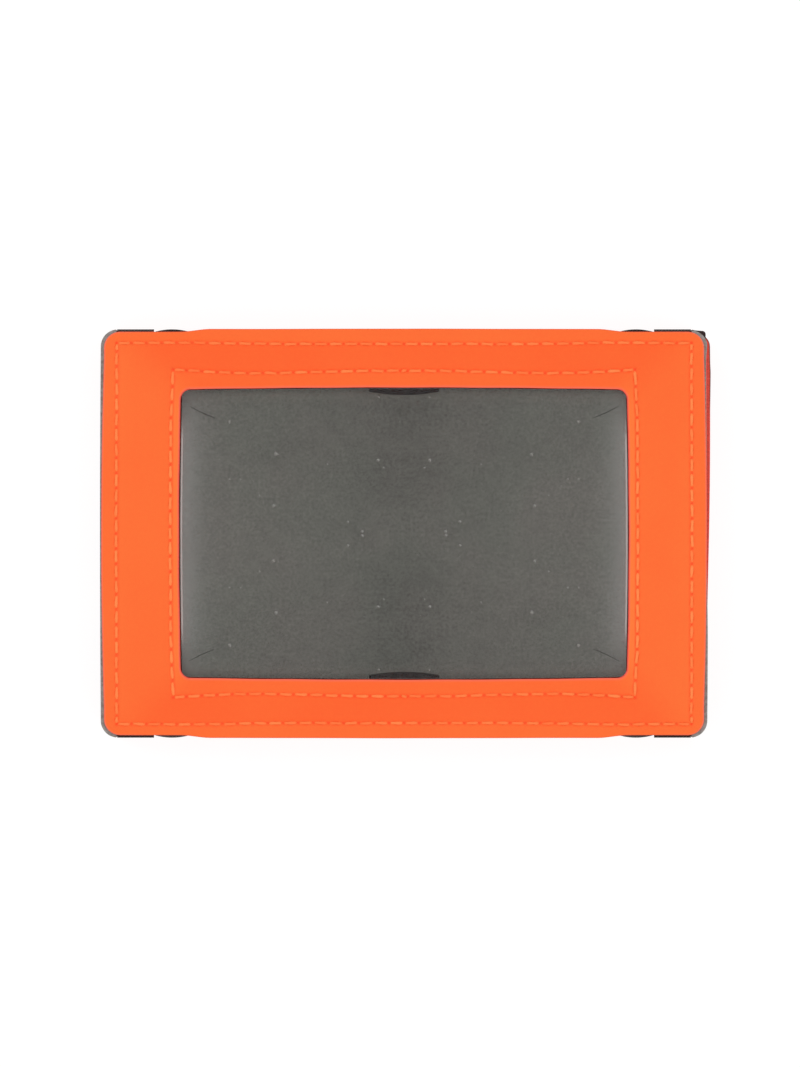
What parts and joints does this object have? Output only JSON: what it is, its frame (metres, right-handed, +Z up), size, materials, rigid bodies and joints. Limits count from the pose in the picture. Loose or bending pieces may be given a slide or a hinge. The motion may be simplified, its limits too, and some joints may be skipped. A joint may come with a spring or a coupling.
{
  "type": "flip wallet with card window",
  "caption": "Flat two-panel flip wallet with a clear card window in the front, a card slot on the back, and elastic bands that let it open from either long edge.",
  "frame": {"origin": "middle of the underside of the closed wallet, lying flat", "axes": "+X along the long side, +Y towards the window pocket's open edge, +Z up out of the window"},
  "size_m": [0.107, 0.072, 0.012],
  "materials": {
    "orange_leather": "bright orange smooth leather, satin, cut edges",
    "orange_thread": "orange sewing thread",
    "clear_film": "clear soft film, glossy, fine dust and scratches",
    "pale_welt": "light grey leatherette filler, matt cut edge",
    "grey_lining": "grey leatherette, fine grain, matt",
    "dark_board": "dark stiffener board, matt",
    "black_elastic": "black woven elastic webbing"
  },
  "bodies": {
    "back_panel": {"back_facing": "orange_leather", "back_inner_thread": "orange_thread", "back_board": "dark_board", "back_leather": "orange_leather", "back_top_thread": "orange_thread", "back_welt": "pale_welt", "back_pocket_leather": "orange_leather", "back_seam_thread": "orange_thread", "pocket_mouth_thread": "orange_thread", "side_band_left_back_end": "black_elastic", "side_band_right_back_end": "black_elastic", "cross_band_lower_back_end": "black_elastic", "cross_band_upper_back_end": "black_elastic"},
    "side_bands": {"side_band_left": "black_elastic", "side_band_right": "black_elastic"},
    "cross_bands": {"cross_band_lower": "black_elastic", "cross_band_upper": "black_elastic"},
    "front_panel": {"front_leather": "orange_leather", "front_outer_thread": "orange_thread", "window_thread": "orange_thread", "window_film": "clear_film", "front_welt": "pale_welt", "pocket_lining": "grey_lining", "front_board": "dark_board", "front_facing": "orange_leather", "front_inner_thread": "orange_thread", "side_band_left_front_end": "black_elastic", "side_band_right_front_end": "black_elastic", "cross_band_lower_front_end": "black_elastic", "cross_band_upper_front_end": "black_elastic"}
  },
  "joints": [
    {"name": "open_at_top_edge", "type": "hinge", "parent": "back_panel", "child": "cross_bands", "pos_m": [0, 0.03625, 0.006], "axis": [1, 0, 0], "range_deg": [-180, 0]},
    {"name": "open_at_bottom_edge", "type": "hinge", "parent": "cross_bands", "child": "front_panel", "pos_m": [0, -0.03625, 0.006], "axis": [1, 0, 0], "range_deg": [0, 180]},
    {"name": "side_bands_follow", "type": "hinge", "parent": "back_panel", "child": "side_bands", "pos_m": [0, -0.03625, 0.006], "axis": [1, 0, 0], "range_deg": [0, 180]}
  ],
  "couplings": [
    {"joint": "side_bands_follow", "follows": "open_at_bottom_edge", "ratio": 1}
  ]
}
